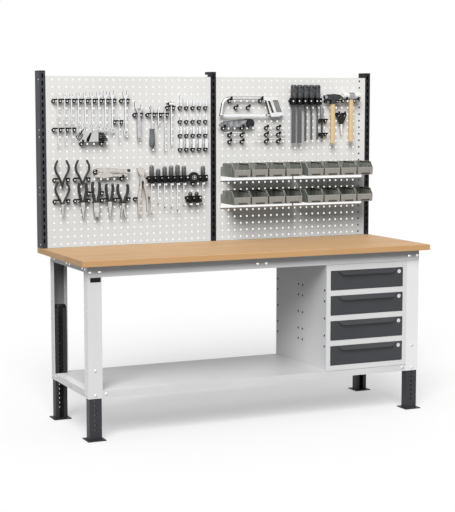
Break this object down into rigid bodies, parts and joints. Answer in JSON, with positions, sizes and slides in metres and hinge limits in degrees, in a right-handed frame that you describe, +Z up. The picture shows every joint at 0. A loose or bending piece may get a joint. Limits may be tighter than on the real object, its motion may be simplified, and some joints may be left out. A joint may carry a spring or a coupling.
{
  "type": "workbench with pegboard and drawer cupboard",
  "caption": "Steel-framed workbench with wooden top, height-adjustable feet, drawer cupboard, bottom shelf, and a perforated tool wall with hooks, hand tools and storage bins.",
  "frame": {"origin": "on the floor, under the middle of the worktop", "axes": "+X to the right along the worktop, +Y from the user towards the tool wall, +Z up"},
  "size_m": [2, 0.75, 1.856],
  "materials": {
    "worktop_wood": "lacquered beech, satin",
    "frame_paint": "light grey powder coat",
    "dark_paint": "anthracite powder coat",
    "fasteners": "zinc plated",
    "label_black": "blank black foil",
    "panel_paint": "white-grey powder coat",
    "rail_white": "white powder coat",
    "bin_plastic": "moulded grey plastic",
    "hook_black": "black moulded plastic",
    "runner_steel": "galvanised",
    "drawer_inside": "grey powder coat",
    "drawer_paint": "anthracite powder coat",
    "lock_chrome": "polished",
    "tool_chrome": "satin chrome plated",
    "black_steel": "dark tool steel",
    "tool_steel": "ground steel with dipped grips",
    "grip_plastic": "grey moulded grips",
    "tape_black": "wound tape",
    "saw_metal": "painted and polished",
    "hammer_steel": "forged head, wooden handle"
  },
  "bodies": {
    "frame": {"worktop": "worktop_wood", "leg_front_left": "frame_paint", "leg_front_right": "frame_paint", "leg_rear_left": "frame_paint", "leg_rear_right": "frame_paint", "side_rail_top_left": "frame_paint", "side_rail_top_right": "frame_paint", "side_rail_low_left": "frame_paint", "side_rail_low_right": "frame_paint", "front_rail": "frame_paint", "rear_rail": "frame_paint", "cross_beam": "frame_paint", "bottom_shelf": "frame_paint", "cupboard_shell": "frame_paint", "cupboard_front": "frame_paint", "upright_left": "dark_paint", "upright_middle": "dark_paint", "upright_right": "dark_paint", "frame_bolts": "fasteners", "panel_screws": "fasteners", "label_plate": "label_black", "panel_left_1": "panel_paint", "panel_left_2": "panel_paint", "panel_left_3": "panel_paint", "panel_right_1": "panel_paint", "panel_right_2": "panel_paint", "panel_right_3": "panel_paint", "bin_rails": "rail_white", "bins_upper": "bin_plastic", "bins_lower": "bin_plastic", "tool_hooks": "hook_black", "drawer_runners": "runner_steel", "wrenches": "tool_chrome", "ratchet_tools": "tool_chrome", "sockets": "tool_chrome", "hex_key_set": "black_steel", "files_and_punches": "black_steel", "circlip_pliers": "tool_steel", "pliers": "tool_steel", "cutters": "tool_steel", "screwdrivers": "grip_plastic", "tape_roll": "tape_black", "hacksaw": "saw_metal", "hammers": "hammer_steel"},
    "foot_front_left": {"foot_front_left": "dark_paint"},
    "foot_front_right": {"foot_front_right": "dark_paint"},
    "foot_rear_left": {"foot_rear_left": "dark_paint"},
    "foot_rear_right": {"foot_rear_right": "dark_paint"},
    "drawer_1": {"drawer_box_1": "drawer_inside", "drawer_front_1": "drawer_paint"},
    "lock_1": {"lock_plug_1": "lock_chrome"},
    "drawer_2": {"drawer_box_2": "drawer_inside", "drawer_front_2": "drawer_paint"},
    "lock_2": {"lock_plug_2": "lock_chrome"},
    "drawer_3": {"drawer_box_3": "drawer_inside", "drawer_front_3": "drawer_paint"},
    "lock_3": {"lock_plug_3": "lock_chrome"},
    "drawer_4": {"drawer_box_4": "drawer_inside", "drawer_front_4": "drawer_paint"},
    "lock_4": {"lock_plug_4": "lock_chrome"}
  },
  "joints": [
    {"name": "foot_front_left_height", "type": "slide", "parent": "frame", "child": "foot_front_left", "axis": [0, 0, 1], "range_m": [-0.2, 0.2]},
    {"name": "foot_front_right_height", "type": "slide", "parent": "frame", "child": "foot_front_right", "axis": [0, 0, 1], "range_m": [-0.2, 0.2]},
    {"name": "foot_rear_left_height", "type": "slide", "parent": "frame", "child": "foot_rear_left", "axis": [0, 0, 1], "range_m": [-0.2, 0.2]},
    {"name": "foot_rear_right_height", "type": "slide", "parent": "frame", "child": "foot_rear_right", "axis": [0, 0, 1], "range_m": [-0.2, 0.2]},
    {"name": "drawer_1_pull", "type": "slide", "parent": "frame", "child": "drawer_1", "axis": [0, -1, 0], "range_m": [0, 0.45]},
    {"name": "lock_1_turn", "type": "hinge", "parent": "drawer_1", "child": "lock_1", "pos_m": [0.833, -0.327, 0.363], "axis": [0, -1, 0], "range_deg": [0, 90]},
    {"name": "drawer_2_pull", "type": "slide", "parent": "frame", "child": "drawer_2", "axis": [0, -1, 0], "range_m": [0, 0.45]},
    {"name": "lock_2_turn", "type": "hinge", "parent": "drawer_2", "child": "lock_2", "pos_m": [0.833, -0.327, 0.499], "axis": [0, -1, 0], "range_deg": [0, 90]},
    {"name": "drawer_3_pull", "type": "slide", "parent": "frame", "child": "drawer_3", "axis": [0, -1, 0], "range_m": [0, 0.45]},
    {"name": "lock_3_turn", "type": "hinge", "parent": "drawer_3", "child": "lock_3", "pos_m": [0.833, -0.327, 0.635], "axis": [0, -1, 0], "range_deg": [0, 90]},
    {"name": "drawer_4_pull", "type": "slide", "parent": "frame", "child": "drawer_4", "axis": [0, -1, 0], "range_m": [0, 0.45]},
    {"name": "lock_4_turn", "type": "hinge", "parent": "drawer_4", "child": "lock_4", "pos_m": [0.833, -0.327, 0.771], "axis": [0, -1, 0], "range_deg": [0, 90]}
  ]
}
